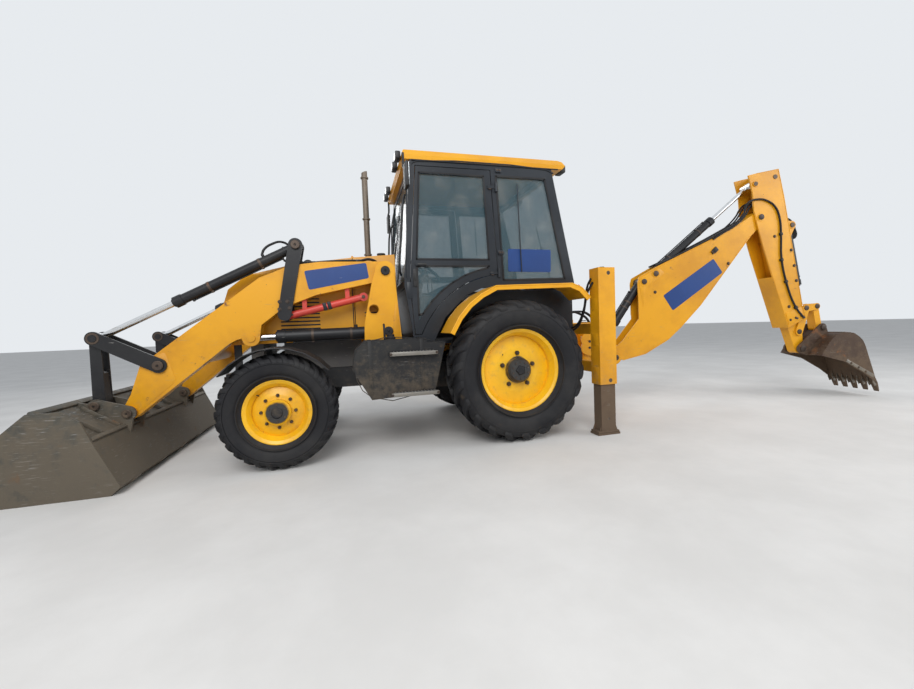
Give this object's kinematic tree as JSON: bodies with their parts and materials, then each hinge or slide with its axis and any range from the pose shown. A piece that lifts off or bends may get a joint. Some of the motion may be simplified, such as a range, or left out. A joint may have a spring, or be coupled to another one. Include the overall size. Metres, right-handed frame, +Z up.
{
  "type": "backhoe loader",
  "caption": "Backhoe loader with a cab, a front loader bucket on lifting arms, and a slewing, extending digging arm on a sliding carriage between drop-down legs.",
  "frame": {"origin": "on the ground, under the middle of the whole machine's box", "axes": "+X forward to the loader bucket, +Y to the machine's left, +Z up"},
  "size_m": [9.3099, 2.35, 3.0146],
  "materials": {
    "yellow_paint": "gloss paint, scratched and dusty",
    "black_paint": "satin black paint, dusty",
    "engine_grey": "rough casting",
    "worn_steel": "worn bare steel with dried soil",
    "rusty_steel": "rusted bare steel",
    "chrome_rod": "hard chrome",
    "tyre_rubber": "worn rubber with dried mud",
    "cab_glass": "clear tinted glass",
    "red_paint": "gloss paint",
    "seat_cloth": "woven cloth",
    "black_plastic": "moulded",
    "lamp_plastic": "clear lenses in black housings",
    "rim_paint": "gloss paint"
  },
  "bodies": {
    "machine": {"chassis": "black_paint", "engine_block": "engine_grey", "axles": "black_paint", "loader_tower": "yellow_paint", "side_tanks": "black_paint", "rear_fenders": "yellow_paint", "cab_floor": "black_paint", "cab_frame": "black_paint", "cab_roof": "yellow_paint", "cab_glass": "cab_glass", "lamps_and_mirrors": "lamp_plastic", "exhaust_stack": "rusty_steel", "front_cowl": "yellow_paint", "controls": "black_plastic", "rear_frame": "yellow_paint"},
    "bonnet": {"bonnet": "yellow_paint"},
    "seat": {"seat": "seat_cloth"},
    "left_door": {"left_door": "black_paint", "left_door_glass": "cab_glass"},
    "right_door": {"right_door": "black_paint", "right_door_glass": "cab_glass"},
    "left_knuckle": {"left_knuckle": "black_paint", "left_mudguard": "yellow_paint"},
    "right_knuckle": {"right_knuckle": "black_paint", "right_mudguard": "yellow_paint"},
    "front_left_wheel": {"front_left_tyre": "tyre_rubber", "front_left_rim": "rim_paint"},
    "front_right_wheel": {"front_right_tyre": "tyre_rubber", "front_right_rim": "rim_paint"},
    "rear_left_wheel": {"rear_left_tyre": "tyre_rubber", "rear_left_rim": "rim_paint"},
    "rear_right_wheel": {"rear_right_tyre": "tyre_rubber", "rear_right_rim": "rim_paint"},
    "loader_arms": {"loader_arms": "yellow_paint", "crowd_brackets": "black_paint", "safety_strut": "red_paint"},
    "lift_barrels": {"lift_barrels": "black_paint"},
    "lift_rods": {"lift_rods": "chrome_rod"},
    "crowd_barrels": {"crowd_barrels": "black_paint"},
    "crowd_rods": {"crowd_rods": "chrome_rod"},
    "bucket_rockers": {"bucket_rockers": "black_paint"},
    "bucket_links": {"bucket_links": "black_paint"},
    "loader_bucket": {"loader_bucket": "worn_steel"},
    "left_leg": {"left_leg": "rusty_steel"},
    "right_leg": {"right_leg": "rusty_steel"},
    "carriage": {"carriage": "yellow_paint"},
    "swing_post": {"swing_post": "yellow_paint"},
    "boom": {"boom": "yellow_paint"},
    "boom_barrel": {"boom_barrel": "black_paint"},
    "boom_rod": {"boom_rod": "chrome_rod"},
    "dipper": {"dipper": "yellow_paint"},
    "dipper_barrel": {"dipper_barrel": "black_paint"},
    "dipper_rod": {"dipper_rod": "chrome_rod"},
    "inner_dipper": {"inner_dipper": "yellow_paint"},
    "bucket_barrel": {"bucket_barrel": "black_paint"},
    "bucket_rod": {"bucket_rod": "chrome_rod"},
    "tipping_lever": {"tipping_lever": "yellow_paint"},
    "tipping_link": {"tipping_link": "yellow_paint"},
    "digging_bucket": {"digging_bucket": "rusty_steel"}
  },
  "joints": [
    {"name": "front_left_steer", "type": "hinge", "parent": "machine", "child": "left_knuckle", "pos_m": [2.735, 0.74, 0.485], "axis": [0, 0, 1], "range_deg": [-38, 38]},
    {"name": "front_right_steer", "type": "hinge", "parent": "machine", "child": "right_knuckle", "pos_m": [2.735, -0.74, 0.485], "axis": [0, 0, 1], "range_deg": [-38, 38]},
    {"name": "front_left_roll", "type": "hinge", "parent": "left_knuckle", "child": "front_left_wheel", "pos_m": [2.735, 0.945, 0.485], "axis": [0, 1, 0], "continuous": true},
    {"name": "front_right_roll", "type": "hinge", "parent": "right_knuckle", "child": "front_right_wheel", "pos_m": [2.735, -0.945, 0.485], "axis": [0, 1, 0], "continuous": true},
    {"name": "rear_left_roll", "type": "hinge", "parent": "machine", "child": "rear_left_wheel", "pos_m": [0.565, 0.91, 0.69], "axis": [0, 1, 0], "continuous": true},
    {"name": "rear_right_roll", "type": "hinge", "parent": "machine", "child": "rear_right_wheel", "pos_m": [0.565, -0.91, 0.69], "axis": [0, 1, 0], "continuous": true},
    {"name": "bonnet_lift", "type": "hinge", "parent": "machine", "child": "bonnet", "pos_m": [2.069, 0, 1.882], "axis": [0, -1, 0], "range_deg": [0, 50]},
    {"name": "left_door_swing", "type": "hinge", "parent": "machine", "child": "left_door", "pos_m": [0.631, 0.732, 1.9], "axis": [0, 0, 1], "range_deg": [0, 85]},
    {"name": "right_door_swing", "type": "hinge", "parent": "machine", "child": "right_door", "pos_m": [0.631, -0.732, 1.9], "axis": [0, 0, -1], "range_deg": [0, 85]},
    {"name": "seat_turn", "type": "hinge", "parent": "machine", "child": "seat", "pos_m": [0.545, 0, 1.4], "axis": [0, 0, 1], "range_deg": [0, 180]},
    {"name": "loader_lift", "type": "hinge", "parent": "machine", "child": "loader_arms", "pos_m": [1.772, 0, 1.697], "axis": [0, -1, 0], "range_deg": [0, 64.5]},
    {"name": "lift_barrel_turn", "type": "hinge", "parent": "machine", "child": "lift_barrels", "pos_m": [1.766, 0, 1.116], "axis": [0, -1, 0], "range_deg": [0, 56]},
    {"name": "lift_rod_slide", "type": "slide", "parent": "lift_barrels", "child": "lift_rods", "axis": [0.9999, 0, -0.0114], "range_m": [0, 0.59]},
    {"name": "loader_tilt", "type": "hinge", "parent": "loader_arms", "child": "loader_bucket", "pos_m": [3.945, 0, 0.52], "axis": [0, 1, 0], "range_deg": [-45, 95]},
    {"name": "rocker_turn", "type": "hinge", "parent": "loader_arms", "child": "bucket_rockers", "pos_m": [3.715, 0, 0.9], "axis": [0, 1, 0], "range_deg": [-21, 45]},
    {"name": "crowd_barrel_turn", "type": "hinge", "parent": "loader_arms", "child": "crowd_barrels", "pos_m": [2.571, 0, 1.935], "axis": [0, 1, 0], "range_deg": [-4, 9]},
    {"name": "crowd_rod_slide", "type": "slide", "parent": "crowd_barrels", "child": "crowd_rods", "axis": [0.8971, 0, -0.4418], "range_m": [-0.14, 0.28]},
    {"name": "bucket_link_turn", "type": "hinge", "parent": "loader_bucket", "child": "bucket_links", "pos_m": [4.165, 0, 0.6], "axis": [0, 1, 0], "range_deg": [-79, 38]},
    {"name": "side_shift", "type": "slide", "parent": "machine", "child": "carriage", "axis": [0, 1, 0], "range_m": [-0.55, 0.55]},
    {"name": "slew", "type": "hinge", "parent": "carriage", "child": "swing_post", "pos_m": [-0.795, 0, 0.8], "axis": [0, 0, 1], "range_deg": [-80, 100]},
    {"name": "boom_lift", "type": "hinge", "parent": "swing_post", "child": "boom", "pos_m": [-1.1495, 0.0625, 0.66], "axis": [0.1736, 0.9848, 0], "range_deg": [-80, 35]},
    {"name": "boom_barrel_turn", "type": "hinge", "parent": "boom", "child": "boom_barrel", "pos_m": [-1.5537, 0.1338, 1.613], "axis": [0.1736, 0.9848, 0], "range_deg": [-6, 3]},
    {"name": "boom_rod_slide", "type": "slide", "parent": "boom_barrel", "child": "boom_rod", "axis": [0.5586, -0.0985, -0.8236], "range_m": [-0.13, 0.29]},
    {"name": "dipper_swing", "type": "hinge", "parent": "boom", "child": "dipper", "pos_m": [-3.1191, 0.4098, 2.3986], "axis": [0.1736, 0.9848, 0], "range_deg": [-43, 70]},
    {"name": "dipper_barrel_turn", "type": "hinge", "parent": "boom", "child": "dipper_barrel", "pos_m": [-1.7106, 0.1614, 1.7118], "axis": [0.1736, 0.9848, 0], "range_deg": [-2, 4]},
    {"name": "dipper_rod_slide", "type": "slide", "parent": "dipper_barrel", "child": "dipper_rod", "axis": [-0.7616, 0.1343, 0.6339], "range_m": [-0.46, 0.28]},
    {"name": "dipper_extend", "type": "slide", "parent": "dipper", "child": "inner_dipper", "axis": [-0.2074, 0.0366, -0.9776], "range_m": [0, 1.2]},
    {"name": "dig_bucket_tilt", "type": "hinge", "parent": "inner_dipper", "child": "digging_bucket", "pos_m": [-3.7091, 0.5138, 0.6588], "axis": [-0.1736, -0.9848, 0], "range_deg": [-15, 143]},
    {"name": "tipping_lever_turn", "type": "hinge", "parent": "inner_dipper", "child": "tipping_lever", "pos_m": [-3.6944, 0.5112, 0.8864], "axis": [0.1736, 0.9848, 0], "range_deg": [-131, 14]},
    {"name": "tipping_link_turn", "type": "hinge", "parent": "tipping_lever", "child": "tipping_link", "pos_m": [-3.9487, 0.5561, 1.2175], "axis": [0.1736, 0.9848, 0], "range_deg": [-10, 90]},
    {"name": "bucket_barrel_turn", "type": "hinge", "parent": "inner_dipper", "child": "bucket_barrel", "pos_m": [-3.5904, 0.4929, 2.2989], "axis": [0.1736, 0.9848, 0], "range_deg": [-1, 4]},
    {"name": "bucket_rod_slide", "type": "slide", "parent": "bucket_barrel", "child": "bucket_rod", "axis": [-0.1833, 0.0323, -0.9825], "range_m": [-0.07, 0.61]},
    {"name": "left_leg_slide", "type": "slide", "parent": "machine", "child": "left_leg", "axis": [0, 0, 1], "range_m": [-0.45, 0.4]},
    {"name": "right_leg_slide", "type": "slide", "parent": "machine", "child": "right_leg", "axis": [0, 0, 1], "range_m": [-0.45, 0.4]}
  ],
  "couplings": [
    {"joint": "front_right_steer", "follows": "front_left_steer", "ratio": 1},
    {"joint": "lift_barrel_turn", "follows": "loader_lift", "ratio": 0.8531},
    {"joint": "lift_rod_slide", "follows": "loader_lift", "m_per_rad": 0.5157},
    {"joint": "rocker_turn", "follows": "loader_tilt", "ratio": 0.4649},
    {"joint": "crowd_barrel_turn", "follows": "loader_tilt", "ratio": 0.0883},
    {"joint": "crowd_rod_slide", "follows": "loader_tilt", "m_per_rad": 0.168},
    {"joint": "bucket_link_turn", "follows": "loader_tilt", "ratio": -0.8296},
    {"joint": "boom_barrel_turn", "follows": "boom_lift", "ratio": 0.0719},
    {"joint": "boom_rod_slide", "follows": "boom_lift", "m_per_rad": -0.2029},
    {"joint": "dipper_barrel_turn", "follows": "dipper_swing", "ratio": 0.045},
    {"joint": "dipper_rod_slide", "follows": "dipper_swing", "m_per_rad": -0.3706},
    {"joint": "tipping_lever_turn", "follows": "dig_bucket_tilt", "ratio": -0.9159},
    {"joint": "tipping_link_turn", "follows": "dig_bucket_tilt", "ratio": 0.6292},
    {"joint": "bucket_barrel_turn", "follows": "dig_bucket_tilt", "ratio": 0.0216},
    {"joint": "bucket_rod_slide", "follows": "dig_bucket_tilt", "m_per_rad": 0.2405}
  ]
}
